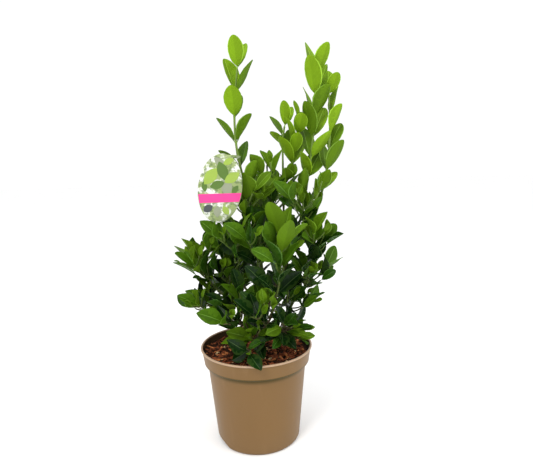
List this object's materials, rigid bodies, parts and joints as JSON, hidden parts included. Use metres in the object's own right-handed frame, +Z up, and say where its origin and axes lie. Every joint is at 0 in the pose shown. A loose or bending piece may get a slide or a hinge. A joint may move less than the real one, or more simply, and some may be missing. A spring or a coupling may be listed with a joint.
{
  "type": "potted evergreen shrub",
  "caption": "Young Japanese spindle shrub with glossy oval leaves and tall upright shoots, in a round tapered nursery pot with a hanging oval plant tag.",
  "frame": {"origin": "centre of the pot's flat underside", "axes": "+Z up along the pot's axis, -Y towards the front of the plant, +X to its right as seen from the front"},
  "size_m": [0.2938, 0.2542, 0.6752],
  "materials": {
    "pot_plastic": "warm taupe moulded plastic with a satin sheen",
    "bark_mulch": "moist dark growing medium topped with red-brown bark chips",
    "bark": "grey-brown to green young bark",
    "leaf": "glossy leathery green leaves",
    "tag_card": "thin printed plastic card"
  },
  "bodies": {
    "root": {"pot": "pot_plastic", "soil": "bark_mulch", "trunk": "bark", "left_tall_bough": "bark", "right_tall_bough": "bark", "right_outer_bough": "bark", "right_inner_bough": "bark", "centre_bough": "bark", "upper_left_bough": "bark", "left_upper_bough": "bark", "upper_middle_bough": "bark", "upper_right_bough": "bark", "front_bright_bough": "bark", "middle_front_bough": "bark", "right_side_bough": "bark", "right_middle_bough": "bark", "right_low_bough": "bark", "right_rim_bough": "bark", "front_middle_bough": "bark", "front_left_bough": "bark", "front_low_bough": "bark", "left_side_bough": "bark", "left_inner_bough": "bark", "left_low_bough": "bark", "inner_middle_bough": "bark", "back_left_bough": "bark", "back_right_bough": "bark", "back_middle_bough": "bark", "back_low_left_bough": "bark", "back_low_right_bough": "bark", "left_tall_leaves": "leaf", "right_tall_leaves": "leaf", "right_outer_leaves": "leaf", "right_inner_leaves": "leaf", "centre_leaves": "leaf", "upper_left_leaves": "leaf", "left_upper_leaves": "leaf", "upper_middle_leaves": "leaf", "upper_right_leaves": "leaf", "front_bright_leaves": "leaf", "middle_front_leaves": "leaf", "right_side_leaves": "leaf", "right_middle_leaves": "leaf", "right_low_leaves": "leaf", "right_rim_leaves": "leaf", "front_middle_leaves": "leaf", "front_left_leaves": "leaf", "front_low_leaves": "leaf", "left_side_leaves": "leaf", "left_inner_leaves": "leaf", "left_low_leaves": "leaf", "inner_middle_leaves": "leaf", "back_left_leaves": "leaf", "back_right_leaves": "leaf", "back_middle_leaves": "leaf", "back_low_left_leaves": "leaf", "back_low_right_leaves": "leaf", "tag": "tag_card"}
  },
  "joints": []
}
